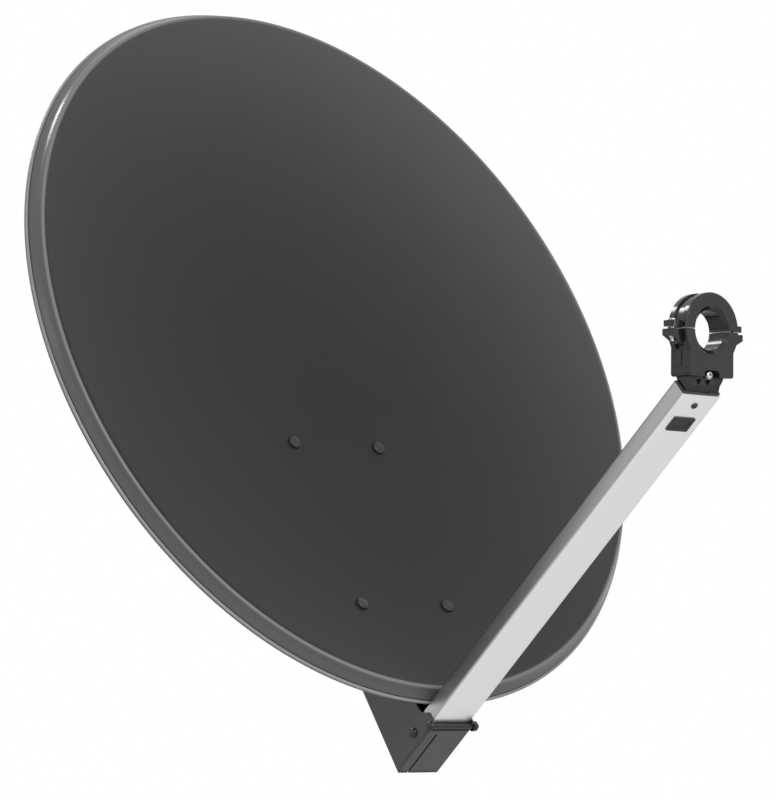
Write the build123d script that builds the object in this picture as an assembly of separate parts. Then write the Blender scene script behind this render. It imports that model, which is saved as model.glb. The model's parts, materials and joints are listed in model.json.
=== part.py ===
"""Offset satellite dish with feed arm, feed clamp and elevation mount for a round mast.

Millimetres and degrees. +Z is up along the mast, the dish looks towards -Y and is
symmetric about X = 0. The origin is on the mast's axis at mid height of its clamp.

Four local frames place the pieces:
  RIM    centre of the rim's crest, x across, y up in the rim plane, z out of the dish
  ARM    underside of the feed arm, x across, y up out of its top face, z along the arm
  FEED   middle of the feed clamp's bore, x across, y up, z away from the dish
  row    the part's own frame, used by the mast side
"""
from build123d import *
from math import atan2, cos, degrees, hypot, radians, sin, sqrt, tan
import os

# ---------------------------------------------------------------- driving dimensions
# Pose of the dish on its mount
REST_TILT = 24.2          # normal of the rim plane above the horizon at rest
PIVOT_REACH = 120.0       # pivot in front of the mast axis
PIVOT_DROP = 35.0         # pivot below mid height of the mast clamp
PIVOT_V = -225.0          # pivot in the rim plane's upward direction
PIVOT_DEPTH = 122.0       # pivot behind the rim plane

# Reflector, a slice of a paraboloid
HALF_WIDTH = 390.0
OFFSET_ANGLE = 22.8       # rim normal to beam
FOCAL_LENGTH = 508.0
SHEET = 1.5
CREST_RADIUS = 2.5        # rolled crest of the rim
HEM_RADIUS = 2.6          # rolled edge behind it
HEM_OUT = 12.8            # how far the hem stands outside the crest
HEM_BACK = 19.6           # how far it stands behind the crest
FLANGE = 2.0              # thickness of the sloped band between them
BOWL_MARGIN = 20.0        # paraboloid made beyond the rim before it is trimmed
BOWL_ROOM = 150.0         # deeper than the bowl

# Fixing of the reflector
BOLT_X = 60.3
BOLT_V_LOW = -311.0
BOLT_V_HIGH = -99.5
BOLT_RADIUS = 4.0         # M8 shank
BOLT_HEAD = 8.0
BOLT_HEAD_RISE = 3.6
HEX_HEAD_RISE = 5.3
BOLT_TAIL = 3.0           # thread beyond a nut
NUT_WIDTH = 13.0          # M8 across flats
NUT_HEIGHT = 6.5
WASHER_RADIUS = 8.5
WASHER = 1.6
HOLE_GAP = 0.3            # bolt to hole
RUNNING_GAP = 0.05        # pivot shank to its bearing holes
MOVING_GAP = 0.4          # faces that pass each other

# Dish bracket, folded sheet
BRACKET_SHEET = 2.0
LUG = 34.0                # height of a bolting lug
LUG_SHEET = 3.0
LUG_EDGE = 17.0           # bolt to a lug's outer edge
LUG_CORNER = 6.0
LUG_ROOT = 14.0           # cheek's step back beside a lug
FOLD = 3.0                # outer radius of the bracket's folds
NOSE = 8.0                # slope of the cheeks' front corner over the arm
THROAT_RISE = 23.0        # cheeks' front edge where it passes the rim
THROAT_DEPTH = 30.0
CHIN = 12.0               # cheeks' front edge under the lower lugs
BROW_RISE = 4.0           # cheeks' top corners over the upper lugs
BROW_DROP = 8.0
BROW_DEPTH = 104.0
BOLT_EDGE = 22.0          # cheek beyond the pivot and lock bolts
LOCK_CORNER = 8.0         # its cut corner beside the lock bolts
LUG_HOLE_DEPTH = 40.0     # longer than any lug is thick
ARM_SIDE_GAP = 0.2        # arm to cheek
SEAM_X = -14.5            # seam of the folded floor
SEAM = 2.6
FLOOR_DROP = 5.3          # floor's outer face under the arm
REAR_LEAN = 9.9           # rear edge of the lower part to the rim plane
KNEE_V = -330.0           # where the rear edge turns back toward the yoke

# Feed arm, rectangular tube
ARM_ANGLE = 16.4          # arm to rim normal
ARM_V = -451.3            # underside of the arm where it crosses the rim plane
ARM_WIDTH = 54.0
ARM_HEIGHT = 19.0
ARM_WALL = 1.6
ARM_CORNER = 3.0
ARM_INNER_CORNER = 1.4
ARM_INNER_END = -76.0
ARM_OUTER_END = 473.5
MOUTH = -14.0             # mouth of the bracket along the arm
FLOOR_END = -93.0         # floor's rear end along the arm
FLOOR_GAP = 1.5           # floor's front edge to the clamp bolt
SEAM_START = 11.0         # seam's front end behind the clamp bolt

# Fasteners of the arm
M6_RADIUS = 3.0
M6_NUT_WIDTH = 10.0
M6_NUT_HEIGHT = 5.0
M6_HEAD = 5.6
M6_HEAD_RISE = 3.0
CLAMP_BOLT_AT = -20.0     # along the arm
CROSS_BOLT_AT = -45.0

# Cable plug in the underside of the arm
PLUG_AT = 433.5
PLUG_LENGTH = 18.0
PLUG_WIDTH = 29.0
PLUG_FLANGE = 1.2
PLUG_LIP = 1.6            # flange beyond the cut-out
PLUG_CORNER = 1.5
PLUG_NECK = 3.0           # how far it reaches past the arm's wall
PLUG_HOLLOW = 0.6         # depth of the hollow in its face
PLUG_RIM = 4.5            # face left round that hollow
FIT_GAP = 0.1             # each side of a plug or spigot in its hole
END_CAP = 2.0             # head of the inner end plug
END_CAP_INSET = 0.5
END_PLUG = 10.0
END_PLUG_WALL = 2.0
SCREW_AT = 459.0          # screw that holds the feed holder's spigot
SPIGOT = 24.0             # how far the spigot reaches into the arm

# Feed clamp
FEED_V = -260.2
FEED_N = 481.7
FEED_ANGLE = 25.3         # bore axis to rim normal
FEED_BORE = 20.0
BORE_FRONT = 9.0          # ends of the gripping wall along the bore
BORE_BACK = -10.9
RING_RADIUS = 37.2
RING_FRONT = 13.0
RING_BACK = -12.4
RING_CHAMFER = 1.0
SPLIT = 1.0               # gap between cap and body at the ring
EAR_GAP = 2.4             # and between their ears
EAR_TIP = 48.7
EAR = 6.0
EAR_DEPTH = 15.0
EAR_CORNER = 3.0
CAP_SCREW_X = 42.5
M4_RADIUS = 2.0
M4_HEAD = 3.6
M4_HEAD_RISE = 2.2
M4_NUT_WIDTH = 7.0
M4_NUT_HEIGHT = 3.0
M4_GAP = 0.1
M4_TAIL = 3.0
NUT_POCKET = 0.4          # clearance round a nut in its seat
GROOVE = 11.5             # moulded recess round the ring
GROOVE_AT = 0.7
GROOVE_DEPTH = 2.0
HOLDER_WIDTH = 59.5       # housing between its side pads
HOLDER_BACK = -14.3
HOLDER_BOTTOM = -46.2
HOLDER_CORNER = 3.0
HOLDER_SHOULDER = -17.5   # where the gusset under each ear meets the side
PAD_RISE = 1.0            # raised pads down the sides
PAD_TOP = -20.0
PAD_FOOT = -37.0
PADS = ((-9.5, 0.3), (2.7, 10.2))
NECK_WIDTH = 46.0
NECK_FRONT = 5.4
NECK_STEP = -48.0         # top and foot of the slope in the neck's front
NECK_FOOT = -53.6
NECK_SETBACK = 4.3
CELLS = (-9.8, 2.8)       # two recesses in the neck's front
CELL_WIDTH = 6.0
CELL_HEIGHT = 5.0
CELL_DEPTH = 4.5
CELL_Y = -51.0
POCKET_WIDTH = 21.0       # recess of the front screw
POCKET_HEIGHT = 9.0
POCKET_FLOOR = 7.0
POCKET_Y = -44.3
FRONT_SCREW_HEAD = 4.2
FRONT_SCREW_RISE = 3.4
FRONT_SCREW = 12.0        # length of its shank
ARM_SCREW = 8.0           # and of the screw under the arm

# Mast clamp
MAST_RADIUS = 30.0
CLAMP_HEIGHT = 100.0
SADDLE_SHEET = 4.0
SADDLE_EDGE = 18.0        # wings' inner faces from the mast axis
SADDLE_HALF_WIDTH = 58.0
MAST_BOLT_X = 44.0
MAST_BOLT_Z = 32.0
MAST_BOLT_TAIL = 52.0     # end of the clamp bolts behind the mast axis

# Yoke
YOKE_SHEET = 3.0
LOCK_V = 64.0             # lock bolt from the pivot, up in the rim plane
LOCK_DEPTH = 12.0         # and further behind it
RAISE = 13.0              # travel of the elevation hinge
LOWER = 36.0
SLOT_SPARE = 0.7          # slot beyond the travel, in degrees
SLOT_GAP = 0.4
SLOT_EDGE = 11.0          # plate outside the slot's middle line
PIVOT_EDGE = 17.0         # plate round the pivot
WEB_CORNER = 6.0

OUT = "parts"

# ---------------------------------------------------------------- derived values
HALF_HEIGHT = HALF_WIDTH / cos(radians(OFFSET_ANGLE))
BEAM_OFFSET = 2 * FOCAL_LENGTH * tan(radians(OFFSET_ANGLE))
BEAM_RISE = (BEAM_OFFSET**2 + HALF_WIDTH**2) / (4 * FOCAL_LENGTH)

CHEEK_INSIDE = ARM_WIDTH / 2 + ARM_SIDE_GAP
CHEEK_OUTSIDE = CHEEK_INSIDE + BRACKET_SHEET
YOKE_INSIDE = CHEEK_OUTSIDE + MOVING_GAP
YOKE_OUTSIDE = YOKE_INSIDE + YOKE_SHEET
WEB_BACK = -(MAST_RADIUS + SADDLE_SHEET)
WEB_FRONT = WEB_BACK - YOKE_SHEET
LOCK_RADIUS = hypot(LOCK_V, LOCK_DEPTH)


def direction(angle):
    """Unit vector in a frame's YZ plane, tipped up from z by angle."""
    return (0, sin(radians(angle)), cos(radians(angle)))


def frame_in(frame, origin, normal):
    """A frame within another one, with the same x axis."""
    return frame * Plane(origin=origin, x_dir=(1, 0, 0), z_dir=normal).location


def rim_frame():
    """Frame of the rim, placed so that the pivot falls on its point of the mount."""
    up = Vector(0, sin(radians(REST_TILT)), cos(radians(REST_TILT)))
    out = Vector(0, -cos(radians(REST_TILT)), sin(radians(REST_TILT)))
    pivot = Vector(0, -PIVOT_REACH, -PIVOT_DROP)
    centre = pivot - up * PIVOT_V + out * PIVOT_DEPTH
    return Plane(origin=centre, x_dir=(1, 0, 0), z_dir=out).location


RIM = rim_frame()
ARM = frame_in(RIM, (0, ARM_V, 0), direction(ARM_ANGLE))
FEED = frame_in(RIM, (0, FEED_V, FEED_N), direction(-FEED_ANGLE))
BEAM = frame_in(
    RIM,
    (
        0,
        -BEAM_OFFSET * cos(radians(OFFSET_ANGLE)) - BEAM_RISE * sin(radians(OFFSET_ANGLE)),
        BEAM_OFFSET * sin(radians(OFFSET_ANGLE)) - BEAM_RISE * cos(radians(OFFSET_ANGLE)),
    ),
    direction(OFFSET_ANGLE),
)


# ---------------------------------------------------------------- general helpers
def save(name, *shapes):
    """Write one node; several shapes stay separate solids."""
    solids = [solid for shape in shapes for solid in shape.solids()]
    node = solids[0] if len(solids) == 1 else Compound(children=solids)
    export_step(node, os.path.join(OUT, name + ".step"))


def side_slab(points, x_low, x_high):
    """Slab between two x values with the outline given as (y, z) points."""
    outline = Polyline(*[(x_low, y, z) for y, z in points], close=True)
    return extrude(make_face(outline), amount=x_high - x_low, dir=(1, 0, 0))


def rod(x_low, x_high, y, z, radius):
    """Round bar along x."""
    start = Plane(origin=(x_low, y, z), x_dir=(0, 1, 0), z_dir=(1, 0, 0))
    return extrude(start.location * Circle(radius), amount=x_high - x_low)


def along_x(x, y, z, toward=1):
    """Frame whose z axis runs along x, outward to the side named by toward."""
    return Plane(origin=(x, y, z), x_dir=(0, 1, 0), z_dir=(toward, 0, 0)).location


def hex_nut(width, height, hole):
    """Nut standing on z = 0, with chamfered corners."""
    body = extrude(RegularPolygon(width / 2, 6, major_radius=False), amount=height)
    corner = width / sqrt(3)
    turned = Cylinder(corner, height, align=(Align.CENTER, Align.CENTER, Align.MIN))
    turned = chamfer(turned.edges(), 0.08 * width)
    return (body & turned) - Pos(0, 0, height / 2) * Cylinder(hole, 2 * height)


def washer(outer, hole, thickness):
    """Flat ring standing on z = 0."""
    return extrude(Circle(outer) - Circle(hole), amount=thickness)


def domed_bolt(shank, head, rise, length):
    """Mushroom-headed bolt: underside of the head on z = 0, shank down to -length."""
    cap = Cylinder(head, rise, align=(Align.CENTER, Align.CENTER, Align.MIN))
    cap = fillet(cap.edges().sort_by(Axis.Z)[-1], 0.85 * rise)
    stem = Cylinder(shank, length, align=(Align.CENTER, Align.CENTER, Align.MAX))
    stem = chamfer(stem.edges().sort_by(Axis.Z)[0], 0.2 * shank)
    return cap + stem


def hex_bolt(shank, width, rise, length):
    """Hexagon-headed bolt: underside of the head on z = 0, shank down to -length."""
    corner = width / sqrt(3)
    cap = extrude(RegularPolygon(width / 2, 6, major_radius=False), amount=rise)
    turned = Cylinder(corner, rise, align=(Align.CENTER, Align.CENTER, Align.MIN))
    cap = cap & chamfer(turned.edges().sort_by(Axis.Z)[-1], 0.08 * width)
    stem = Cylinder(shank, length, align=(Align.CENTER, Align.CENTER, Align.MAX))
    stem = chamfer(stem.edges().sort_by(Axis.Z)[0], 0.2 * shank)
    return cap + stem


def screw(shank, head, rise, length):
    """Pan-headed screw with a recess for the driver; head's underside on z = 0."""
    cap = Cylinder(head, rise, align=(Align.CENTER, Align.CENTER, Align.MIN))
    cap = fillet(cap.edges().sort_by(Axis.Z)[-1], 0.45 * rise)
    cap = cap - Pos(0, 0, rise) * Cylinder(0.45 * head, rise)
    stem = Cylinder(shank, length, align=(Align.CENTER, Align.CENTER, Align.MAX))
    return cap + stem


# ---------------------------------------------------------------- reflector
def dish_depth(x, v):
    """Height of the reflecting face over the rim plane, negative inside the bowl."""
    c = cos(radians(OFFSET_ANGLE))
    s = sin(radians(OFFSET_ANGLE))
    # (x, y, z) with y = offset + v c - n s and z = rise + v s + n c lies on 4 f z = x^2 + y^2
    y0 = BEAM_OFFSET + v * c
    z0 = BEAM_RISE + v * s
    a = s * s
    b = -2 * y0 * s - 4 * FOCAL_LENGTH * c
    k = x * x + y0 * y0 - 4 * FOCAL_LENGTH * z0
    return (-b - sqrt(b * b - 4 * a * k)) / (2 * a)


def dish_normal(x, v):
    """Unit normal of the reflecting face, out of the bowl."""
    c = cos(radians(OFFSET_ANGLE))
    s = sin(radians(OFFSET_ANGLE))
    y = BEAM_OFFSET + v * c - dish_depth(x, v) * s
    slope_x = x / (2 * FOCAL_LENGTH)
    slope_y = y / (2 * FOCAL_LENGTH)
    # gradient in the beam's frame, turned into the rim's
    return Vector(-slope_x, -slope_y * c + s, slope_y * s + c).normalized()


def bolt_frames():
    """Frames on the reflecting face at the four bolts, z out of the bowl."""
    frames = []
    for x in (-BOLT_X, BOLT_X):
        for v in (BOLT_V_LOW, BOLT_V_HIGH):
            normal = dish_normal(x, v)
            point = Vector(x, v, dish_depth(x, v))
            frames.append(RIM * Plane(origin=point, x_dir=(1, 0, 0), z_dir=normal).location)
    return frames


def back_gap():
    """Distance along a bolt from the reflecting face to the back of the sheet."""
    return SHEET * 1.02


def rim_section():
    """Section of the rolled rim: crest, sloped band and hem, x outward and y forward."""
    run = HEM_OUT - HEM_RADIUS
    drop = HEM_BACK - HEM_RADIUS - CREST_RADIUS
    length = hypot(run, drop)
    outward = Vector(drop, run) / length
    crest = Vector(0, -CREST_RADIUS)
    hem = Vector(run, -HEM_BACK + HEM_RADIUS)
    start = crest + outward * (CREST_RADIUS - FLANGE / 2)
    end = hem + outward * (HEM_RADIUS - FLANGE / 2)
    middle = (start + end) / 2
    slope = degrees(atan2(end.Y - start.Y, end.X - start.X))
    band = Pos(middle.X, middle.Y) * Rot(0, 0, slope) * Rectangle((end - start).length, FLANGE)
    beads = Pos(crest.X, crest.Y) * Circle(CREST_RADIUS) + Pos(hem.X, hem.Y) * Circle(HEM_RADIUS)
    return band + beads


def reflector():
    reach = BEAM_OFFSET + HALF_WIDTH + BOWL_MARGIN
    height = reach**2 / (4 * FOCAL_LENGTH)
    front = Bezier((0, 0, 0), (reach / 2, 0, 0), (reach, 0, height))
    back = Bezier((0, 0, -SHEET), (reach / 2, 0, -SHEET), (reach, 0, height - SHEET))
    hub = Line((0, 0, 0), (0, 0, -SHEET))
    lip = Line((reach, 0, height), (reach, 0, height - SHEET))
    bowl = BEAM * revolve(make_face([front, lip, back, hub]), Axis.Z)
    outline = RIM * Pos(0, 0, -BOWL_ROOM) * Ellipse(HALF_WIDTH, HALF_HEIGHT)
    bowl = bowl & extrude(outline, amount=BOWL_ROOM + CREST_RADIUS)

    path = Edge.make_ellipse(HALF_WIDTH, HALF_HEIGHT)
    section = Plane(origin=(HALF_WIDTH, 0, 0), x_dir=(1, 0, 0), z_dir=(0, -1, 0)).location
    rim = RIM * sweep(section * rim_section(), path=path)
    dish = bowl + rim
    for frame in bolt_frames():
        dish = dish - frame * Cylinder(BOLT_RADIUS + HOLE_GAP, 8 * SHEET)
    return dish


# ---------------------------------------------------------------- bracket behind the dish
def arm_point(h, s):
    """A point of the arm's frame as (v, n) in the rim's frame."""
    c = cos(radians(ARM_ANGLE))
    k = sin(radians(ARM_ANGLE))
    return (ARM_V + h * c + s * k, -h * k + s * c)


def lug_depth(v, bolt_v):
    """Depth of a lug's front face at a cheek, level v, for the lug of the bolt at bolt_v."""
    n = dish_normal(BOLT_X, bolt_v)
    depth = dish_depth(BOLT_X, bolt_v) - back_gap()
    return depth - (n.X * (CHEEK_OUTSIDE - BOLT_X) + n.Y * (v - bolt_v)) / n.Z


def cheek_outline():
    """Side outline of the bracket as (v, n) points, from its lowest corner round the front."""
    low = (BOLT_V_LOW - LUG / 2, BOLT_V_LOW + LUG / 2)
    high = (BOLT_V_HIGH - LUG / 2, BOLT_V_HIGH + LUG / 2)
    half = LUG_SHEET / 2
    corner = arm_point(-FLOOR_DROP, FLOOR_END)
    knee = (KNEE_V, corner[1] - (KNEE_V - corner[0]) * tan(radians(REAR_LEAN)))
    return [
        corner,
        arm_point(-FLOOR_DROP, MOUTH),
        arm_point(ARM_HEIGHT - NOSE, MOUTH),
        arm_point(ARM_HEIGHT - 1, MOUTH - NOSE),
        (ARM_V + THROAT_RISE, -THROAT_DEPTH),
        (low[0] - CHIN, lug_depth(low[0], BOLT_V_LOW) - LUG_ROOT),
        (low[0], lug_depth(low[0], BOLT_V_LOW) - half),
        (low[1], lug_depth(low[1], BOLT_V_LOW) - half),
        (low[1] + LUG_ROOT, lug_depth(low[1], BOLT_V_LOW) - LUG_ROOT),
        (high[0] - LUG_ROOT, lug_depth(high[0], BOLT_V_HIGH) - LUG_ROOT),
        (high[0], lug_depth(high[0], BOLT_V_HIGH) - half),
        (high[1], lug_depth(high[1], BOLT_V_HIGH) - half),
        (high[1] + BROW_RISE, lug_depth(high[1], BOLT_V_HIGH) - LUG_ROOT),
        (high[1] - BROW_DROP, -BROW_DEPTH),
        (PIVOT_V + LOCK_V + BOLT_EDGE, -PIVOT_DEPTH - LOCK_DEPTH - LOCK_CORNER),
        (PIVOT_V + LOCK_V - LOCK_CORNER, -PIVOT_DEPTH - LOCK_DEPTH - BOLT_EDGE),
        (PIVOT_V - BOLT_EDGE, -PIVOT_DEPTH - BOLT_EDGE),
        knee,
    ]


def fold_cutter(length, radius):
    """What rounds a square edge that runs along z, with the body towards -x and -y."""
    square = Pos(-radius / 2, -radius / 2) * Rectangle(radius, radius)
    corner = square - Pos(-radius, -radius) * Circle(radius)
    rest = Pos(radius / 2, 0) * Rectangle(radius, 2 * radius)
    over = Pos(-radius / 2, radius / 2) * Rectangle(radius, radius)
    return extrude(corner + rest + over, amount=length)


def dish_bracket():
    outline = cheek_outline()
    cheeks = side_slab(outline, -CHEEK_OUTSIDE, -CHEEK_INSIDE)
    cheeks += side_slab(outline, CHEEK_INSIDE, CHEEK_OUTSIDE)

    # floor under the arm, with the seam where the folded sheet meets
    front = CLAMP_BOLT_AT - M6_RADIUS - FLOOR_GAP
    floor = [
        arm_point(-FLOOR_DROP, FLOOR_END),
        arm_point(-FLOOR_DROP, front),
        arm_point(-FLOOR_DROP + BRACKET_SHEET, front),
        arm_point(-FLOOR_DROP + BRACKET_SHEET, FLOOR_END),
    ]
    seam = [
        arm_point(-2 * FLOOR_DROP, 2 * FLOOR_END),
        arm_point(-2 * FLOOR_DROP, CLAMP_BOLT_AT - SEAM_START),
        arm_point(0, CLAMP_BOLT_AT - SEAM_START),
        arm_point(0, 2 * FLOOR_END),
    ]
    body = cheeks + side_slab(floor, -CHEEK_INSIDE, CHEEK_INSIDE)

    # rear wall from the floor up to the knee, and a tie across the front between the lugs
    corner = outline[0]
    knee = outline[-1]
    rear = [
        corner,
        knee,
        (knee[0], knee[1] + BRACKET_SHEET),
        (corner[0], corner[1] + BRACKET_SHEET),
    ]
    body += side_slab(rear, -CHEEK_INSIDE, CHEEK_INSIDE)
    tie = [outline[8], outline[9]]
    tie += [(v, n - BRACKET_SHEET) for v, n in reversed(tie)]
    body += side_slab(tie, -CHEEK_INSIDE, CHEEK_INSIDE)
    body -= side_slab(seam, SEAM_X - SEAM / 2, SEAM_X + SEAM / 2)

    # rounded folds between the cheeks and the floor, and between the cheeks and the rear wall
    run = hypot(knee[0] - corner[0], knee[1] - corner[1])
    rear_edge = Plane(
        origin=(0, corner[0], corner[1]),
        x_dir=(1, 0, 0),
        z_dir=(0, (knee[0] - corner[0]) / run, (knee[1] - corner[1]) / run),
    ).location
    floor_edge = frame_in(Location(), (0, ARM_V, 0), direction(ARM_ANGLE))
    floor_edge = floor_edge * Pos(0, -FLOOR_DROP, FLOOR_END - FOLD)
    floor_fold = fold_cutter(MOUTH - FLOOR_END + FOLD, FOLD)
    rear_fold = fold_cutter(run + FOLD, FOLD)
    for side in (-1, 1):
        turn = 180 if side < 0 else -90
        body -= floor_edge * Pos(side * CHEEK_OUTSIDE, 0, 0) * Rot(0, 0, turn) * floor_fold
        turn = 90 if side < 0 else 0
        body -= rear_edge * Pos(side * CHEEK_OUTSIDE, 0, -FOLD) * Rot(0, 0, turn) * rear_fold
    body = RIM * body

    # lugs bolted to the back of the reflector
    width = BOLT_X + LUG_EDGE - CHEEK_INSIDE
    middle = (BOLT_X + LUG_EDGE + CHEEK_INSIDE) / 2 - BOLT_X
    for frame in bolt_frames():
        side = 1 if (RIM.inverse() * frame).position.X > 0 else -1
        seat = frame * Pos(0, 0, -back_gap() - LUG_SHEET / 2)
        lug = Box(width, LUG, LUG_SHEET)
        outer = lug.edges().filter_by(Axis.Z).group_by(Axis.X)[-1 if side > 0 else 0]
        body += seat * Pos(side * middle, 0, 0) * fillet(outer, LUG_CORNER)
    for frame in bolt_frames():
        body -= frame * Cylinder(BOLT_RADIUS + HOLE_GAP, LUG_HOLE_DEPTH)

    # holes for the pivot, the two lock bolts and the arm's bolts
    reach = 2 * CHEEK_OUTSIDE
    body -= RIM * rod(-reach, reach, PIVOT_V, -PIVOT_DEPTH, BOLT_RADIUS + RUNNING_GAP)
    lock = (PIVOT_V + LOCK_V, -PIVOT_DEPTH - LOCK_DEPTH)
    body -= RIM * rod(-reach, reach, *lock, BOLT_RADIUS + RUNNING_GAP)
    clamp = (-M6_RADIUS - FIT_GAP, CLAMP_BOLT_AT)
    body -= ARM * rod(-reach, reach, *clamp, M6_RADIUS + RUNNING_GAP)
    cross = (ARM_HEIGHT / 2, CROSS_BOLT_AT)
    body -= ARM * rod(-reach, reach, *cross, M6_RADIUS + RUNNING_GAP)
    return body


# ---------------------------------------------------------------- feed arm and what is on it
def feed_arm():
    outer = RectangleRounded(ARM_WIDTH, ARM_HEIGHT, ARM_CORNER)
    inner = RectangleRounded(ARM_WIDTH - 2 * ARM_WALL, ARM_HEIGHT - 2 * ARM_WALL, ARM_INNER_CORNER)
    section = Pos(0, ARM_HEIGHT / 2, ARM_INNER_END) * (outer - inner)
    tube = extrude(section, amount=ARM_OUTER_END - ARM_INNER_END)
    cut = (PLUG_WIDTH - 2 * PLUG_LIP, 4 * ARM_WALL, PLUG_LENGTH - 2 * PLUG_LIP)
    tube -= Pos(0, 0, PLUG_AT) * Box(*cut)
    tube -= rod(-ARM_WIDTH, ARM_WIDTH, ARM_HEIGHT / 2, CROSS_BOLT_AT, M6_RADIUS + RUNNING_GAP)
    tube -= Pos(0, 0, SCREW_AT) * Rot(90, 0, 0) * Cylinder(M4_RADIUS + M4_GAP, 4 * ARM_WALL)
    return ARM * tube


def cable_plug():
    flange = Pos(0, -PLUG_FLANGE / 2, PLUG_AT) * Box(PLUG_WIDTH, PLUG_FLANGE, PLUG_LENGTH)
    flange = fillet(flange.edges().filter_by(Axis.Y), PLUG_CORNER)
    deep = ARM_WALL + PLUG_NECK
    inset = 2 * (PLUG_LIP + FIT_GAP)
    neck = Pos(0, deep / 2, PLUG_AT) * Box(PLUG_WIDTH - inset, deep, PLUG_LENGTH - inset)
    hollow = Box(PLUG_WIDTH - 2 * PLUG_RIM, 2 * PLUG_HOLLOW, PLUG_LENGTH - 2 * PLUG_RIM)
    return ARM * (flange + neck - Pos(0, -PLUG_FLANGE, PLUG_AT) * hollow)


def arm_fit():
    """Width and height of what fits inside the arm's tube."""
    slack = 2 * (ARM_WALL + FIT_GAP)
    return (ARM_WIDTH - slack, ARM_HEIGHT - slack)


def arm_end_plug():
    """Moulded plug in the arm's inner end."""
    width, height = arm_fit()
    middle = ARM_HEIGHT / 2
    inset = 2 * END_CAP_INSET
    head = Box(ARM_WIDTH - inset, ARM_HEIGHT - inset, END_CAP)
    head = Pos(0, middle, ARM_INNER_END - END_CAP / 2) * head
    body = Pos(0, middle, ARM_INNER_END + END_PLUG / 2) * Box(width, height, END_PLUG)
    body = fillet(body.edges().filter_by(Axis.Z), ARM_INNER_CORNER)
    wall = 2 * END_PLUG_WALL
    hollow = Box(width - wall, height - wall, END_PLUG)
    return ARM * (head + body - Pos(0, middle, ARM_INNER_END + END_PLUG / 2 + 1) * hollow)


def arm_bolt(height, along, head):
    """Bolt across both cheeks at a point of the arm's side view, and its nut."""
    length = 2 * CHEEK_OUTSIDE + M6_NUT_HEIGHT + BOLT_TAIL
    left = ARM * along_x(-CHEEK_OUTSIDE, height, along, -1)
    right = ARM * along_x(CHEEK_OUTSIDE, height, along, 1)
    bolt = left * domed_bolt(M6_RADIUS, head, M6_HEAD_RISE, length)
    nut = right * hex_nut(M6_NUT_WIDTH, M6_NUT_HEIGHT, M6_RADIUS)
    return bolt, nut


# ---------------------------------------------------------------- feed clamp
def in_feed(height, along):
    """A point of the arm's side view as (y, z) in the feed clamp's frame."""
    point = (FEED.inverse() * ARM * Pos(0, height, along)).position
    return (point.Y, point.Z)


def half_space(top, gap):
    """Large block above or below a gap across the bore's middle."""
    size = 4 * EAR_TIP
    middle = (gap + size) / 2
    return Pos(0, middle if top else -middle, 0) * Box(size, size, size)


def clamp_ring():
    """Whole ring with its moulded outer groove and chamfered faces."""
    depth = RING_FRONT - RING_BACK
    ring = Pos(0, 0, RING_BACK) * extrude(Circle(RING_RADIUS), amount=depth)
    ring = chamfer(ring.edges(), RING_CHAMFER)
    recess = Circle(2 * RING_RADIUS) - Circle(RING_RADIUS - GROOVE_DEPTH)
    ring -= Pos(0, 0, GROOVE_AT) * extrude(recess, amount=GROOVE / 2, both=True)
    return ring


def feed_bore():
    """Gripping wall of the clamp, opened at 45 degrees beyond both ends."""
    far = 2 * RING_FRONT
    wall = extrude(Circle(FEED_BORE), amount=far, both=True)
    front = Cone(FEED_BORE, FEED_BORE + far, far, align=(Align.CENTER, Align.CENTER, Align.MIN))
    back = Rot(180, 0, 0) * front
    return wall + Pos(0, 0, BORE_FRONT) * front + Pos(0, 0, BORE_BACK) * back


def ear_holes(radius):
    hole = Rot(90, 0, 0) * Cylinder(radius, 2 * EAR_TIP)
    return Pos(CAP_SCREW_X, 0, 0) * hole + Pos(-CAP_SCREW_X, 0, 0) * hole


def feed_cap():
    ears = Pos(0, (EAR_GAP + EAR) / 2, 0) * Box(2 * EAR_TIP, EAR, EAR_DEPTH)
    ears = fillet(ears.edges().filter_by(Axis.Y), EAR_CORNER)
    cap = (clamp_ring() & half_space(True, SPLIT)) + ears
    cap -= feed_bore()
    cap -= ear_holes(M4_RADIUS + M4_GAP)
    return FEED * cap


def holder_outline():
    """Front view of the ears and gussets of the holder."""
    side = HOLDER_WIDTH / 2
    ear_top = -EAR_GAP / 2
    right = [(EAR_TIP, ear_top), (EAR_TIP, ear_top - EAR), (side, HOLDER_SHOULDER)]
    return right + [(-x, y) for x, y in reversed(right)]


def side_pad(side, low, high):
    """Raised pad on a side of the housing, rounded along its length."""
    radius = PAD_RISE
    width = high - low
    pad = Box(2 * PAD_RISE, PAD_TOP - PAD_FOOT, width)
    outer = pad.edges().filter_by(Axis.Y).group_by(Axis.X)[-1 if side > 0 else 0]
    pad = fillet(outer, 0.9 * radius)
    return Pos(side * HOLDER_WIDTH / 2, (PAD_TOP + PAD_FOOT) / 2, (low + high) / 2) * pad


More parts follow.
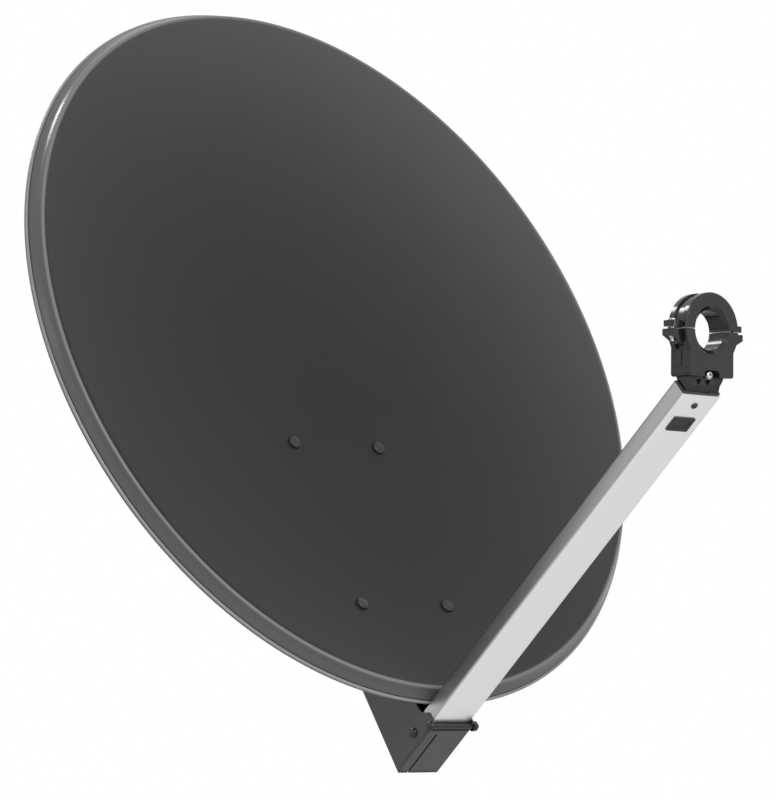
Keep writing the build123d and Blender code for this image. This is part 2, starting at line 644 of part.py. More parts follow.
def feed_holder():
    # housing under the bore, with raised pads down its sides
    tall = HOLDER_SHOULDER - HOLDER_BOTTOM
    depth = RING_FRONT - HOLDER_BACK
    body = Box(HOLDER_WIDTH, tall, depth)
    body = fillet(body.edges().filter_by(Axis.Z).group_by(Axis.Y)[0], HOLDER_CORNER)
    body = Pos(0, HOLDER_BOTTOM + tall / 2, (RING_FRONT + HOLDER_BACK) / 2) * body
    outline = make_face(Polyline(*holder_outline(), close=True))
    body += extrude(outline, EAR_DEPTH / 2, both=True)
    body += clamp_ring() & half_space(False, SPLIT)
    for side in (-1, 1):
        for low, high in PADS:
            body += side_pad(side, low, high)

    # neck down to the arm's end, with two cells in its front
    inset = ARM_WALL + FIT_GAP
    root = HOLDER_BOTTOM + HOLDER_CORNER
    neck = [
        (root, HOLDER_BACK),
        (root, NECK_FRONT),
        (NECK_STEP, NECK_FRONT),
        (NECK_FOOT, NECK_FRONT - NECK_SETBACK),
        in_feed(inset, ARM_OUTER_END),
        in_feed(ARM_HEIGHT - inset, ARM_OUTER_END),
    ]
    body += side_slab(neck, -NECK_WIDTH / 2, NECK_WIDTH / 2)
    for x in CELLS:
        body -= Pos(x, CELL_Y, NECK_FRONT) * Box(CELL_WIDTH, CELL_HEIGHT, 2 * CELL_DEPTH)
    body -= feed_bore()

    # clearance for the two cap screws and seats for their nuts
    body -= ear_holes(M4_RADIUS + M4_GAP)
    nut_top = -EAR_GAP / 2 - EAR
    well = Cylinder(M4_NUT_WIDTH / sqrt(3) + NUT_POCKET, EAR_TIP)
    for x in (-CAP_SCREW_X, CAP_SCREW_X):
        body -= Pos(x, nut_top - EAR_TIP / 2, 0) * Rot(90, 0, 0) * well

    # pocket of the front screw
    pocket = SlotOverall(POCKET_WIDTH, POCKET_HEIGHT)
    body -= Pos(0, POCKET_Y, POCKET_FLOOR) * extrude(pocket, amount=RING_FRONT)
    body -= Pos(0, POCKET_Y, POCKET_FLOOR) * Cylinder(M4_RADIUS, 2 * FRONT_SCREW)
    body = FEED * body

    # spigot inside the arm
    width, height = arm_fit()
    spigot = Box(width, height, SPIGOT + END_CAP)
    spigot = fillet(spigot.edges().filter_by(Axis.Z), ARM_INNER_CORNER)
    body += ARM * Pos(0, ARM_HEIGHT / 2, ARM_OUTER_END - (SPIGOT - END_CAP) / 2) * spigot
    body -= ARM * Pos(0, 0, SCREW_AT) * Rot(90, 0, 0) * Cylinder(M4_RADIUS, 2 * ARM_SCREW)
    return body


def cap_screws():
    length = EAR_GAP + 2 * EAR + M4_NUT_HEIGHT + M4_TAIL
    seat = Rot(-90, 0, 0)
    one = seat * screw(M4_RADIUS, M4_HEAD, M4_HEAD_RISE, length)
    level = EAR_GAP / 2 + EAR
    return [FEED * Pos(x, level, 0) * one for x in (-CAP_SCREW_X, CAP_SCREW_X)]


def cap_nuts():
    seat = Rot(90, 0, 0)
    one = seat * hex_nut(M4_NUT_WIDTH, M4_NUT_HEIGHT, M4_RADIUS + RUNNING_GAP)
    level = -EAR_GAP / 2 - EAR
    return [FEED * Pos(x, level, 0) * one for x in (-CAP_SCREW_X, CAP_SCREW_X)]


def holder_screw():
    """Screw in the pocket of the holder's front face."""
    one = screw(M4_RADIUS, FRONT_SCREW_HEAD, FRONT_SCREW_RISE, FRONT_SCREW)
    return FEED * Pos(0, POCKET_Y, POCKET_FLOOR) * one


def arm_screw():
    """Screw through the arm's underside into the spigot."""
    seat = Plane(origin=(0, 0, SCREW_AT), x_dir=(1, 0, 0), z_dir=(0, -1, 0)).location
    return ARM * seat * screw(M4_RADIUS, M4_HEAD, M4_HEAD_RISE / 2, ARM_SCREW)


# ---------------------------------------------------------------- mast side
def yoke_side(x_low, x_high):
    """Side plate with the pivot hole and the curved slot of the lock bolt."""
    y = -PIVOT_REACH
    z = -PIVOT_DROP
    nose = PIVOT_EDGE / 2
    top = z + LOCK_RADIUS + SLOT_EDGE
    outline = [
        (y - PIVOT_EDGE, z - nose),
        (y - nose, z - PIVOT_EDGE),
        (y + nose, z - PIVOT_EDGE),
        (WEB_BACK, -CLAMP_HEIGHT / 2),
        (WEB_BACK, CLAMP_HEIGHT / 2),
        (WEB_FRONT - PIVOT_EDGE, top),
        (y - 0.3 * PIVOT_EDGE, top),
        (y - 0.7 * PIVOT_EDGE, top - nose),
        (y - PIVOT_EDGE, z + 0.7 * PIVOT_EDGE),
    ]
    plate = side_slab(outline, x_low, x_high)
    plate -= rod(x_low - 1, x_high + 1, y, z, BOLT_RADIUS + RUNNING_GAP)
    rest = REST_TILT + degrees(atan2(LOCK_DEPTH, LOCK_V))
    face = Plane(origin=(x_low - 1, y, z), x_dir=(0, 1, 0), z_dir=(1, 0, 0)).location
    sweep_angle = RAISE + LOWER + 2 * SLOT_SPARE
    arc = CenterArc((0, 0), LOCK_RADIUS, 90 - rest - RAISE - SLOT_SPARE, sweep_angle)
    slot = SlotArc(arc, 2 * (BOLT_RADIUS + SLOT_GAP))
    return plate - extrude(face * slot, amount=x_high - x_low + 2)


def mast_bolt_places():
    return [(x, z) for x in (-MAST_BOLT_X, MAST_BOLT_X) for z in (-MAST_BOLT_Z, MAST_BOLT_Z)]


def bolt_holes(depth_low, depth_high):
    """Four clearance holes along y."""
    holes = []
    for x, z in mast_bolt_places():
        start = Plane(origin=(x, depth_low, z), x_dir=(1, 0, 0), z_dir=(0, 1, 0)).location
        holes.append(extrude(start * Circle(BOLT_RADIUS + HOLE_GAP), depth_high - depth_low))
    return holes


def mast_yoke():
    web = Pos(0, (WEB_FRONT + WEB_BACK) / 2, 0) * Box(
        2 * SADDLE_HALF_WIDTH, YOKE_SHEET, CLAMP_HEIGHT
    )
    web = fillet(web.edges().filter_by(Axis.Y), WEB_CORNER)
    yoke = web + yoke_side(-YOKE_OUTSIDE, -YOKE_INSIDE) + yoke_side(YOKE_INSIDE, YOKE_OUTSIDE)
    for hole in bolt_holes(WEB_FRONT - 1, WEB_BACK + 1):
        yoke -= hole
    return yoke


def saddle(leg):
    """Half clamp behind the mast: seat, two wings and their turned edges of length leg."""
    outer = MAST_RADIUS + SADDLE_SHEET
    size = 4 * MAST_RADIUS
    seat = Circle(outer) & (Pos(0, SADDLE_EDGE + size / 2) * Rectangle(size, size))
    middle = SADDLE_EDGE + SADDLE_SHEET / 2
    wings = Pos(0, middle) * Rectangle(2 * SADDLE_HALF_WIDTH, SADDLE_SHEET)
    edge = SADDLE_HALF_WIDTH - SADDLE_SHEET / 2
    legs = Rectangle(SADDLE_SHEET, leg)
    section = seat + wings
    for x in (-edge, edge):
        section += Pos(x, SADDLE_EDGE + leg / 2) * legs
    section -= Circle(MAST_RADIUS)
    return Pos(0, 0, -CLAMP_HEIGHT / 2) * extrude(section, amount=CLAMP_HEIGHT)


def front_saddle():
    body = Rot(0, 0, 180) * saddle(-WEB_BACK - SADDLE_EDGE)
    for hole in bolt_holes(WEB_BACK, 0):
        body -= hole
    return body


def rear_saddle():
    body = saddle(MAST_RADIUS / 2)
    for hole in bolt_holes(0, MAST_BOLT_TAIL):
        body -= hole
    return body


def mast_fasteners():
    """Four clamp bolts from the web, and the washers and nuts behind the rear saddle."""
    bolts = []
    washers = []
    nuts = []
    seat = SADDLE_EDGE + SADDLE_SHEET
    for x, z in mast_bolt_places():
        front = Plane(origin=(x, WEB_FRONT, z), x_dir=(1, 0, 0), z_dir=(0, -1, 0)).location
        rear = Plane(origin=(x, seat, z), x_dir=(1, 0, 0), z_dir=(0, 1, 0)).location
        length = MAST_BOLT_TAIL - WEB_FRONT
        bolts.append(front * hex_bolt(BOLT_RADIUS, NUT_WIDTH, HEX_HEAD_RISE, length))
        washers.append(rear * washer(WASHER_RADIUS, BOLT_RADIUS + RUNNING_GAP, WASHER))
        nut = hex_nut(NUT_WIDTH, NUT_HEIGHT, BOLT_RADIUS + RUNNING_GAP)
        nuts.append(rear * Pos(0, 0, WASHER) * nut)
    return bolts, washers, nuts


def pivot_fasteners():
    """Long pivot bolt, with a washer outside each yoke plate and its nut."""
    place = (-PIVOT_REACH, -PIVOT_DROP)
    left = along_x(-YOKE_OUTSIDE, *place, -1)
    right = along_x(YOKE_OUTSIDE, *place, 1)
    length = 2 * (YOKE_OUTSIDE + WASHER) + NUT_HEIGHT + BOLT_TAIL
    bolt = left * Pos(0, 0, WASHER) * hex_bolt(BOLT_RADIUS, NUT_WIDTH, HEX_HEAD_RISE, length)
    one = washer(WASHER_RADIUS, BOLT_RADIUS, WASHER)
    nut = right * Pos(0, 0, WASHER) * hex_nut(NUT_WIDTH, NUT_HEIGHT, BOLT_RADIUS)
    return bolt, [left * one, right * one], nut


def lock_fasteners():
    """Short bolts that slide in the yoke's curved slots, one each side."""
    place = (PIVOT_V + LOCK_V, -PIVOT_DEPTH - LOCK_DEPTH)
    outside = YOKE_OUTSIDE + MOVING_GAP
    length = outside - CHEEK_INSIDE + WASHER + NUT_HEIGHT + BOLT_TAIL
    bolts = []
    washers = []
    nuts = []
    for side in (-1, 1):
        inner = RIM * along_x(side * CHEEK_INSIDE, *place, -side)
        outer = RIM * along_x(side * outside, *place, side)
        bolts.append(inner * domed_bolt(BOLT_RADIUS, BOLT_HEAD, BOLT_HEAD_RISE, length))
        washers.append(outer * washer(WASHER_RADIUS + 2, BOLT_RADIUS, WASHER))
        nuts.append(outer * Pos(0, 0, WASHER) * hex_nut(NUT_WIDTH, NUT_HEIGHT, BOLT_RADIUS))
    return bolts, washers, nuts


def reflector_fasteners():
    """Four bolts through the reflector and the bracket's lugs."""
    bolts = []
    washers = []
    nuts = []
    lug_back = back_gap() + LUG_SHEET
    length = lug_back + WASHER + NUT_HEIGHT + BOLT_TAIL
    for frame in bolt_frames():
        head = frame * Pos(0, 0, 0.05)
        bolts.append(head * domed_bolt(BOLT_RADIUS, BOLT_HEAD, BOLT_HEAD_RISE, length))
        behind = frame * Pos(0, 0, -lug_back) * Rot(180, 0, 0)
        washers.append(behind * washer(WASHER_RADIUS, BOLT_RADIUS, WASHER))
        nuts.append(behind * Pos(0, 0, WASHER) * hex_nut(NUT_WIDTH, NUT_HEIGHT, BOLT_RADIUS))
    return bolts, washers, nuts


# ---------------------------------------------------------------- all nodes
def main():
    os.makedirs("parts", exist_ok=True)
    save("reflector", reflector())
    bolts, washers, nuts = reflector_fasteners()
    save("reflector_bolts", *bolts)
    save("reflector_washers", *washers)
    save("reflector_nuts", *nuts)

    save("dish_bracket", dish_bracket())
    bolts, washers, nuts = lock_fasteners()
    save("lock_bolts", *bolts)
    save("lock_washers", *washers)
    save("lock_nuts", *nuts)

    save("feed_arm", feed_arm())
    save("cable_plug", cable_plug())
    save("arm_end_plug", arm_end_plug())
    bolt, nut = arm_bolt(-M6_RADIUS - FIT_GAP, CLAMP_BOLT_AT, M6_HEAD)
    save("arm_clamp_bolt", bolt)
    save("arm_clamp_nut", nut)
    bolt, nut = arm_bolt(ARM_HEIGHT / 2, CROSS_BOLT_AT, M6_HEAD)
    save("arm_cross_bolt", bolt)
    save("arm_cross_nut", nut)

    save("feed_holder", feed_holder())
    save("holder_screw", holder_screw())
    save("arm_screw", arm_screw())
    save("feed_cap", feed_cap())
    save("cap_screws", *cap_screws())
    save("cap_nuts", *cap_nuts())

    save("mast_yoke", mast_yoke())
    bolt, washers, nut = pivot_fasteners()
    save("pivot_bolt", bolt)
    save("pivot_washers", *washers)
    save("pivot_nut", nut)
    save("front_saddle", front_saddle())
    save("rear_saddle", rear_saddle())
    bolts, washers, nuts = mast_fasteners()
    save("mast_bolts", *bolts)
    save("mast_washers", *washers)
    save("mast_nuts", *nuts)


main()
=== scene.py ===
"""Looks of the satellite dish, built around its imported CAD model. Metres, row frame:
+Z up along the mast, the dish looks towards -Y, origin on the mast's axis."""

import bpy
import json
from math import atan2, cos, hypot, pi, radians, sin, sqrt, tan
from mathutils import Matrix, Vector


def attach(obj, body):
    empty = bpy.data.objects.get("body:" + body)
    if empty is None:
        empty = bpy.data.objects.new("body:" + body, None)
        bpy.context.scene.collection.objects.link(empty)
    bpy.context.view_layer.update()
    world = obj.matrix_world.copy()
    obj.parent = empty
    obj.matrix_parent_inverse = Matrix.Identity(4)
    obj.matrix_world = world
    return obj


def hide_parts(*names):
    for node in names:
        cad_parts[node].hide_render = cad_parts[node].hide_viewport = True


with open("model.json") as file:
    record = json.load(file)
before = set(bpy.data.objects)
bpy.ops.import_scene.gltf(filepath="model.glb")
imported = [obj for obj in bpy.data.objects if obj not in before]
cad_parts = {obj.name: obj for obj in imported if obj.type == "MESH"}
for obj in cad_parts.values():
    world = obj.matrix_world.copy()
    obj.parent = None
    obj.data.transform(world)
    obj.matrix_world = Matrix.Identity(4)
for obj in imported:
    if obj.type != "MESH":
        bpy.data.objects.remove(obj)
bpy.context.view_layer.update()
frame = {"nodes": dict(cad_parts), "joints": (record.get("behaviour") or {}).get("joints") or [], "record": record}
nodes = frame["nodes"]
scene = bpy.context.scene

# ---------------------------------------------------------------- camera
CAMERA_PLACE = (-2.3452, -2.9651, -0.1987)
CAMERA_AIM = (0.64498, 0.75827, 0.09504)
LENS = 150.235
SENSOR_WIDTH = 36.0
FAR_CLIP = 100.0

camera_data = bpy.data.cameras.new("camera")
camera_data.lens = LENS
camera_data.sensor_width = SENSOR_WIDTH
camera_data.clip_end = FAR_CLIP
camera = bpy.data.objects.new("camera", camera_data)
scene.collection.objects.link(camera)
camera.location = CAMERA_PLACE
camera.rotation_euler = Vector(CAMERA_AIM).to_track_quat("-Z", "Y").to_euler()
scene.camera = camera

# ---------------------------------------------------------------- sizes shared with the solids
# Millimetres, under the names that the part's source gives them
MM = 0.001
HALF_WIDTH = 390.0
OFFSET_ANGLE = radians(22.8)
HALF_HEIGHT = HALF_WIDTH / cos(OFFSET_ANGLE)
FOCAL_LENGTH = 508.0
SHEET = 1.5
CREST_RADIUS = 2.5
HEM_RADIUS = 2.6
HEM_OUT = 12.8
HEM_BACK = 19.6
FLANGE = 2.0
REST_TILT = radians(24.2)
PIVOT_V = -225.0
PIVOT_DEPTH = 122.0
ARM_ANGLE = radians(16.4)
ARM_WIDTH = 54.0
RIM_UP = Vector((0.0, sin(REST_TILT), cos(REST_TILT)))
RIM_OUT = Vector((0.0, -cos(REST_TILT), sin(REST_TILT)))
ARM_DIRECTION = (RIM_UP * sin(ARM_ANGLE) + RIM_OUT * cos(ARM_ANGLE)).normalized()
elevation = next(joint for joint in frame["joints"] if joint["name"] == "elevation")
RIM_CENTRE = Vector(elevation["pos_m"]) / MM - RIM_UP * PIVOT_V + RIM_OUT * PIVOT_DEPTH

# The shell's own sizes
FACE_INSET = 1.45         # face stops short of the crest's middle line
BACK_INSET = 5.5          # and so does the back
BACK_DEPTH = 1.04 * SHEET
CREST_START = radians(124)
HEM_TURN = radians(215)
AROUND = 240
RINGS = 46


def place(x, v, n):
    """A point of the rim's frame, in metres of the row frame."""
    return (Vector((x, 0, 0)) + RIM_CENTRE + RIM_UP * v + RIM_OUT * n) * MM


# ---------------------------------------------------------------- material helpers
class Net:
    """A material's node tree, with short calls to add and join nodes."""

    def __init__(self, name):
        self.material = bpy.data.materials.new(name)
        self.material.use_nodes = True
        self.tree = self.material.node_tree
        self.shader = self.tree.nodes["Principled BSDF"]
        self.object = self.add("ShaderNodeTexCoord").outputs["Object"]

    def add(self, kind, **settings):
        node = self.tree.nodes.new(kind)
        for key, value in settings.items():
            setattr(node, key, value)
        return node

    def join(self, source, target):
        self.tree.links.new(source, target)

    def noise(self, scale, detail=2.0, rough=0.5, vector=None):
        node = self.add("ShaderNodeTexNoise")
        node.inputs["Scale"].default_value = scale
        node.inputs["Detail"].default_value = detail
        node.inputs["Roughness"].default_value = rough
        self.join(vector or self.object, node.inputs["Vector"])
        return node.outputs["Fac"]

    def span(self, source, low, high, from_low=0.0, from_high=1.0):
        node = self.add("ShaderNodeMapRange")
        node.inputs["From Min"].default_value = from_low
        node.inputs["From Max"].default_value = from_high
        node.inputs["To Min"].default_value = low
        node.inputs["To Max"].default_value = high
        self.join(source, node.inputs["Value"])
        return node.outputs["Result"]

    def step(self, source, start, end):
        """Rises from 0 to 1 between two values of the source."""
        return self.span(source, 0.0, 1.0, start, end)

    def stretched(self, along, factor):
        """Object coordinates turned so that z runs along a direction, and squeezed along it."""
        turn = Vector((0, 0, 1)).rotation_difference(Vector(along)).inverted().to_euler()
        node = self.add("ShaderNodeMapping")
        node.vector_type = "POINT"
        node.inputs["Rotation"].default_value = turn
        node.inputs["Scale"].default_value = (1, 1, factor)
        self.join(self.object, node.inputs["Vector"])
        return node.outputs["Vector"]

    def maths(self, operation, *values):
        node = self.add("ShaderNodeMath", operation=operation)
        for socket, value in zip(node.inputs, values):
            if isinstance(value, (int, float)):
                socket.default_value = value
            else:
                self.join(value, socket)
        return node.outputs[0]

    def from_axis(self, point, axis, reach):
        """Distance from an axis, as a share of a reach."""
        away = self.add("ShaderNodeVectorMath", operation="SUBTRACT")
        away.inputs[1].default_value = point
        self.join(self.object, away.inputs[0])
        across = self.add("ShaderNodeVectorMath", operation="CROSS_PRODUCT")
        across.inputs[1].default_value = axis
        self.join(away.outputs[0], across.inputs[0])
        length = self.add("ShaderNodeVectorMath", operation="LENGTH")
        self.join(across.outputs[0], length.inputs[0])
        return self.step(length.outputs["Value"], 0.0, reach)

    def along_axis(self, point, axis):
        """How far along a direction from a point, times the direction's length."""
        away = self.add("ShaderNodeVectorMath", operation="SUBTRACT")
        away.inputs[1].default_value = point
        self.join(self.object, away.inputs[0])
        along = self.add("ShaderNodeVectorMath", operation="DOT_PRODUCT")
        along.inputs[1].default_value = axis
        self.join(away.outputs[0], along.inputs[0])
        return along.outputs["Value"]

    def tint(self, fac, dark, light):
        node = self.add("ShaderNodeMix", data_type="RGBA")
        for socket, colour in ((node.inputs[6], dark), (node.inputs[7], light)):
            if isinstance(colour, tuple):
                socket.default_value = (*colour, 1)
            else:
                self.join(colour, socket)
        self.join(fac, node.inputs[0])
        self.join(node.outputs[2], self.shader.inputs["Base Color"])
        return node.outputs[2]

    def rough(self, source, low, high):
        self.join(self.span(source, low, high), self.shader.inputs["Roughness"])

    def bump(self, source, strength, distance, before=None):
        node = self.add("ShaderNodeBump")
        node.inputs["Strength"].default_value = strength
        node.inputs["Distance"].default_value = distance
        self.join(source, node.inputs["Height"])
        if before is not None:
            self.join(before, node.inputs["Normal"])
        self.join(node.outputs["Normal"], self.shader.inputs["Normal"])
        return node.outputs["Normal"]

    def orange_peel(self):
        grain = self.bump(self.noise(850.0, 2.0, 0.6), 0.16, 0.00025)
        self.bump(self.noise(160.0, 1.0), 0.05, 0.0006, grain)

    def set(self, **values):
        for key, value in values.items():
            self.shader.inputs[key.replace("_", " ")].default_value = value


def grey(value):
    return (value, value, value)


def coat(name, dark, light, low, high, level):
    """Powder coat: fine orange peel with a slow drift of tone and sheen."""
    net = Net(name)
    slow = net.noise(9.0, 3.0, 0.55)
    net.tint(slow, grey(dark), grey(light))
    net.rough(slow, low, high)
    net.orange_peel()
    net.set(Specular_IOR_Level=level)
    return net


def bowl_coat(name):
    """The reflector's powder coat, with light and shade painted into its tone. The face carries
    painted shade, darkest round a spot low and left in the bowl and paler towards the rim. The rolled
    rim is a painted highlight, paler and glossier, palest in painted highlight lines on the crest and
    the hem's bead, with painted shade in the crease between band and bead. Depths are millimetres
    behind the crest."""
    net = Net(name)
    slow = net.noise(9.0, 3.0, 0.55)
    # painted shade: the face is darkest round this spot, low and left, and paler towards the rim
    painted_shade_spot = RIM_CENTRE - RIM_UP * 0.30 * HALF_HEIGHT - Vector((0.30 * HALF_WIDTH, 0, 0))
    painted_falloff = net.from_axis(painted_shade_spot * MM, RIM_OUT, 1.4 * HALF_HEIGHT * MM)
    tone = net.maths("ADD", net.maths("POWER", painted_falloff, 3.0), net.span(slow, -0.04, 0.04))
    face = net.tint(tone, grey(0.0135), grey(0.067))
    across = net.along_axis(RIM_CENTRE * MM, Vector((1, 0, 0)) / (HALF_WIDTH * MM))
    up = net.along_axis(RIM_CENTRE * MM, RIM_UP / (HALF_HEIGHT * MM))
    squared = net.maths("MULTIPLY_ADD", up, up, net.maths("MULTIPLY", across, across))
    share = net.maths("SQRT", squared)
    rim = net.step(share, 0.993, 0.999)
    depth = net.along_axis(RIM_CENTRE * MM, RIM_OUT * -1000.0)
    seam = HEM_BACK - 2 * HEM_RADIUS
    # painted highlight: the rim is tinted paler than the face, palest just behind the crest
    band = net.tint(net.step(depth, 0.9, 1.7), grey(0.160), grey(0.091))
    # painted shade: a dark line in the crease before the hem's bead
    crease = net.tint(net.step(depth, seam - 1.7, seam - 0.7), band, grey(0.030))
    # painted highlight: a pale line along the hem's bead
    painted_bead_highlight = net.tint(net.step(depth, seam - 0.3, seam + 0.1), crease, grey(0.230))
    rolled = net.tint(net.step(depth, seam + 1.5, seam + 2.4), painted_bead_highlight, grey(0.085))
    net.tint(rim, face, rolled)
    face_rough = net.span(slow, 0.38, 0.44)
    net.join(net.maths("MULTIPLY_ADD", rim, -0.20, face_rough), net.shader.inputs["Roughness"])
    net.set(Specular_IOR_Level=0.2)
    net.orange_peel()
    return net


def zinc(name, dark, light, low, high):
    """Plated steel with a faint mottle."""
    net = Net(name)
    mottle = net.noise(420.0, 4.0, 0.65)
    net.tint(mottle, dark, light)
    net.rough(mottle, low, high)
    net.set(Metallic=1.0)
    net.bump(net.noise(1500.0), 0.08, 0.0001)
    return net


def moulded(name, value, low, high):
    """Moulded black plastic or rubber: faint flow in its tone and sheen, and a fine grain."""
    net = Net(name)
    flow = net.noise(60.0, 3.0, 0.6)
    net.tint(flow, grey(value * 0.8), grey(value * 1.2))
    net.rough(flow, low, high)
    net.bump(net.noise(1300.0, 2.0), 0.06, 0.00015)
    return net


def drawn_metal(name, along, width, dark, light, low, high):
    """Drawn aluminium: fine lines along the tube, and sides darkened as painted shade."""
    net = Net(name)
    lines = net.noise(1400.0, 3.0, 0.6, net.stretched(along, 0.012))
    cloud = net.noise(14.0, 2.0)
    bright = net.tint(lines, grey(dark), grey(light))
    across = net.maths("ABSOLUTE", net.along_axis(Vector(), Vector((2 / (width * MM), 0, 0))))
    flank = net.step(across, 0.94, 0.99)
    # painted shade: the tube's sides are tinted to about half the brightness of its top and bottom
    side_shade_share = 0.52
    painted_shade_sides = net.tint(lines, grey(dark * side_shade_share), grey(light * side_shade_share))
    net.tint(flank, bright, painted_shade_sides)
    satin = net.span(cloud, low, high)
    net.join(net.maths("MULTIPLY_ADD", flank, 0.03, satin), net.shader.inputs["Roughness"])
    net.set(Metallic=1.0)
    net.bump(lines, 0.10, 0.00012)
    return net


face_coat = bowl_coat("reflector_coat")
steel_coat = coat("bracket_coat", 0.037, 0.044, 0.28, 0.36, 0.48)
arm_metal = drawn_metal("arm_metal", ARM_DIRECTION, ARM_WIDTH, 0.86, 0.92, 0.27, 0.33)
gloss_black = moulded("gloss_black", 0.010, 0.13, 0.20)
gloss_black.set(Specular_IOR_Level=0.42)
matt_black = moulded("black_plastic", 0.014, 0.45, 0.6)
soft_black = moulded("black_rubber", 0.016, 0.6, 0.75)
bright_zinc = zinc("zinc", (0.36, 0.36, 0.345), (0.48, 0.475, 0.46), 0.28, 0.40)
galvanised = zinc("galvanised", (0.40, 0.41, 0.42), (0.56, 0.57, 0.58), 0.36, 0.52)
dark_steel = coat("dark_fastener", 0.015, 0.021, 0.12, 0.18, 0.36)

finish_of = {
    "reflector_coat": face_coat,
    "bracket_coat": steel_coat,
    "arm_metal": arm_metal,
    "gloss_black": gloss_black,
    "black_plastic": matt_black,
    "black_rubber": soft_black,
    "zinc": bright_zinc,
    "galvanised": galvanised,
    "dark_fastener": dark_steel,
}


def finish(obj, slot):
    obj.data.materials.clear()
    obj.data.materials.append(finish_of[slot].material)


for part in frame["record"]["subparts"]:
    finish(nodes[part["node"]], part["material_slot"])


# ---------------------------------------------------------------- CAD nodes: edges and shading
def shade_smooth(obj):
    """Welds the imported corners and shades the faces as one surface."""
    weld = obj.modifiers.new("weld", "WELD")
    weld.merge_threshold = 2e-6
    for polygon in obj.data.polygons:
        polygon.use_smooth = True


def soften(obj, width, angle=35.0):
    """Small rounded edges on a sheet-metal or moulded solid."""
    shade_smooth(obj)
    flat = obj.modifiers.new("flat", "DECIMATE")
    flat.decimate_type = "DISSOLVE"
    flat.angle_limit = radians(0.5)
    round_off = obj.modifiers.new("round", "BEVEL")
    round_off.width = width * MM
    round_off.segments = 2
    round_off.limit_method = "ANGLE"
    round_off.angle_limit = radians(angle)
    even = obj.modifiers.new("even", "WEIGHTED_NORMAL")
    even.weight = 100


def smooth(obj, angle=40.0):
    """Even shading on a turned or moulded solid, its sharp edges kept."""
    shade_smooth(obj)
    split = obj.modifiers.new("sharp", "EDGE_SPLIT")
    split.split_angle = radians(angle)


# ---------------------------------------------------------------- reflector
def dish_depth(x, v):
    """How far the paraboloid lies behind (minus) the rim plane at a point of it."""
    c, s = cos(OFFSET_ANGLE), sin(OFFSET_ANGLE)
    offset = 2 * FOCAL_LENGTH * tan(OFFSET_ANGLE)
    rise = (offset**2 + HALF_WIDTH**2) / (4 * FOCAL_LENGTH)
    y0 = offset + v * c
    z0 = rise + v * s
    a = s * s
    b = -2 * y0 * s - 4 * FOCAL_LENGTH * c
    k = x * x + y0 * y0 - 4 * FOCAL_LENGTH * z0
    return (-b - sqrt(b * b - 4 * a * k)) / (2 * a)


def arc(centre, radius, start, end, steps):
    """Points along an arc, both ends included."""
    return [
        (
            centre[0] + radius * cos(start + (end - start) * i / steps),
            centre[1] + radius * sin(start + (end - start) * i / steps),
        )
        for i in range(steps + 1)
    ]


def rim_profile():
    """Section of the rolled rim from the reflecting face round to the back of the sheet."""
    crest = (0.0, -CREST_RADIUS)
    hem = (HEM_OUT - HEM_RADIUS, -HEM_BACK + HEM_RADIUS)
    run = hem[0] - crest[0]
    drop = crest[1] - hem[1]
    outward = atan2(run, drop)
    over = arc(crest, CREST_RADIUS, CREST_START, outward, 12)
    bead = arc(hem, HEM_RADIUS, outward, outward - HEM_TURN, 22)
    length = hypot(run, drop)
    side = (cos(outward), sin(outward))
    along = (run / length, -drop / length)

    def on_band(distance, sunk):
        """A point of the band, sunk below the line that touches crest and hem."""
        out = CREST_RADIUS + (HEM_RADIUS - CREST_RADIUS) * distance / length - sunk
        return tuple(crest[k] + along[k] * distance + side[k] * out for k in (0, 1))

    # the band sinks gently behind the crest and rises steeply to the hem's bead
    from_crest = [(0.7, 0.04), (1.6, 0.14), (2.8, 0.36), (4.0, 0.62), (5.2, 0.84)]
    from_crest += [(6.4, 0.97), (7.4, 1.0)]
    to_hem = [(7.0, 1.0), (3.2, 1.0), (2.6, 1.0), (2.25, 0.97), (1.95, 0.84)]
    to_hem += [(1.4, 0.41), (0.7, 0.10)]
    band = [on_band(*step) for step in from_crest]
    band += [on_band(length - distance, sunk) for distance, sunk in to_hem]
    thin = CREST_RADIUS - FLANGE
    inside = [
        tuple(crest[k] + along[k] * distance + side[k] * thin for k in (0, 1))
        for distance in (length - 3.0, length * 0.5, 1.8)
    ]
    return over + band + bead + inside + [(-1.0, -4.6), (-3.5, -4.4)]


ANGLES = [2 * pi * i / AROUND for i in range(AROUND)]


def bowl_ring(share, behind):
    """A ring of the bowl at a share of its reach, some way behind the reflecting face."""
    points = []
    for t in ANGLES:
        x, v = HALF_WIDTH * share * cos(t), HALF_HEIGHT * share * sin(t)
        points.append(place(x, v, dish_depth(x, v) - behind))
    return points


def rim_ring(out, forward):
    """A ring of the rim, a way outside the crest's middle line and forward of it."""
    points = []
    for t in ANGLES:
        x, v = HALF_WIDTH * cos(t), HALF_HEIGHT * sin(t)
        normal = Vector((cos(t) / HALF_WIDTH, sin(t) / HALF_HEIGHT)).normalized()
        points.append(place(x + normal[0] * out, v + normal[1] * out, forward))
    return points


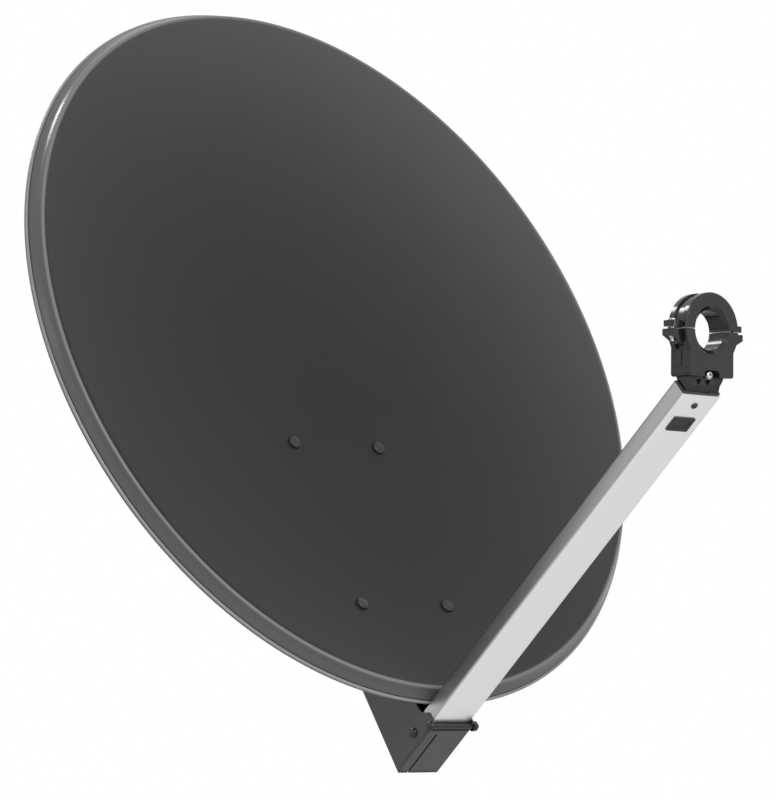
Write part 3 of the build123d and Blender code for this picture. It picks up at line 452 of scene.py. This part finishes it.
def reflector_mesh():
    """One closed shell: out over the face, round the rim and in over the back."""
    front_reach = 1 - FACE_INSET / HALF_WIDTH
    back_reach = 1 - BACK_INSET / HALF_WIDTH
    rings = [bowl_ring(k / RINGS * front_reach, 0.0) for k in range(1, RINGS + 1)]
    rings += [rim_ring(out, forward) for out, forward in rim_profile()]
    rings += [bowl_ring(k / RINGS * back_reach, BACK_DEPTH) for k in range(RINGS, 0, -1)]
    verts = [point for ring in rings for point in ring]
    faces = []
    for ring in range(len(rings) - 1):
        a, b = ring * AROUND, (ring + 1) * AROUND
        for i in range(AROUND):
            j = (i + 1) % AROUND
            faces.append((a + i, b + i, b + j, a + j))
    front_centre = len(verts)
    verts += [place(0, 0, dish_depth(0, 0)), place(0, 0, dish_depth(0, 0) - BACK_DEPTH)]
    last = (len(rings) - 1) * AROUND
    for i in range(AROUND):
        j = (i + 1) % AROUND
        faces.append((front_centre, i, j))
        faces.append((front_centre + 1, last + j, last + i))
    mesh = bpy.data.meshes.new("reflector_shell")
    mesh.from_pydata([tuple(v) for v in verts], [], faces)
    mesh.validate()
    for polygon in mesh.polygons:
        polygon.use_smooth = True
    return mesh


shell = bpy.data.objects.new("reflector_shell", reflector_mesh())
scene.collection.objects.link(shell)
finish(shell, "reflector_coat")
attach(shell, "dish")
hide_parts("reflector")


edge_of = {
    "dish_bracket": (0.7, 35.0),
    "mast_yoke": (0.7, 35.0),
    "front_saddle": (0.8, 35.0),
    "rear_saddle": (0.8, 35.0),
    "feed_holder": (0.6, 40.0),
    "feed_cap": (0.6, 40.0),
}
for name, node in nodes.items():
    if name in edge_of:
        soften(node, *edge_of[name])
    elif name != "reflector" and getattr(node, "type", "") == "MESH":
        smooth(node)


# ---------------------------------------------------------------- floor, world and lamps
def plane(name, size, location):
    mesh = bpy.data.meshes.new(name)
    half = size / 2
    corners = [(-half, -half, 0), (half, -half, 0), (half, half, 0), (-half, half, 0)]
    mesh.from_pydata(corners, [], [(0, 1, 2, 3)])
    obj = bpy.data.objects.new(name, mesh)
    obj.location = location
    scene.collection.objects.link(obj)
    return obj


FLOOR_DROP = 1.0          # the dish stands clear of the ground, on its mast
floor = plane("floor", 30.0, (0, 0, -FLOOR_DROP))
ground = Net("floor")
ground.tint(ground.noise(2.0), grey(0.67), grey(0.69))
ground.set(Roughness=0.9)
floor.data.materials.append(ground.material)

world = bpy.data.worlds.new("world")
world.use_nodes = True
scene.world = world
tree = world.node_tree
background = tree.nodes["Background"]
background.inputs["Color"].default_value = (1, 1, 1, 1)
# white behind the object and in what it mirrors, a plain level for what it is lit by
path = tree.nodes.new("ShaderNodeLightPath")
seen = tree.nodes.new("ShaderNodeMath")
seen.operation = "MAXIMUM"
tree.links.new(path.outputs["Is Camera Ray"], seen.inputs[0])
tree.links.new(path.outputs["Is Glossy Ray"], seen.inputs[1])
clear = tree.nodes.new("ShaderNodeMath")
clear.operation = "MAXIMUM"
tree.links.new(seen.outputs[0], clear.inputs[0])
tree.links.new(path.outputs["Is Transmission Ray"], clear.inputs[1])
level = tree.nodes.new("ShaderNodeMapRange")
level.inputs["To Min"].default_value = 0.72
level.inputs["To Max"].default_value = 1.0
tree.links.new(clear.outputs[0], level.inputs["Value"])
tree.links.new(level.outputs["Result"], background.inputs["Strength"])


def lamp(name, location, size, energy, target=(0, -0.2, 0.2)):
    data = bpy.data.lights.new(name, "AREA")
    data.shape = "DISK"
    data.size = size
    data.energy = energy
    obj = bpy.data.objects.new(name, data)
    obj.location = location
    obj.rotation_euler = (Vector(target) - Vector(location)).to_track_quat("-Z", "Y").to_euler()
    scene.collection.objects.link(obj)


lamp("key", (-0.07, -3.2, 0.7), 0.95, 16)
lamp("high", (-0.84, -2.93, 1.77), 1.1, 32)
lamp("low", (1.0, -2.85, 0.05), 1.0, 10)
lamp("left", (-3.5, -1.0, 2.4), 1.6, 14)
lamp("back", (-0.9, 2.7, 3.1), 1.1, 50)

scene.view_settings.view_transform = "Standard"
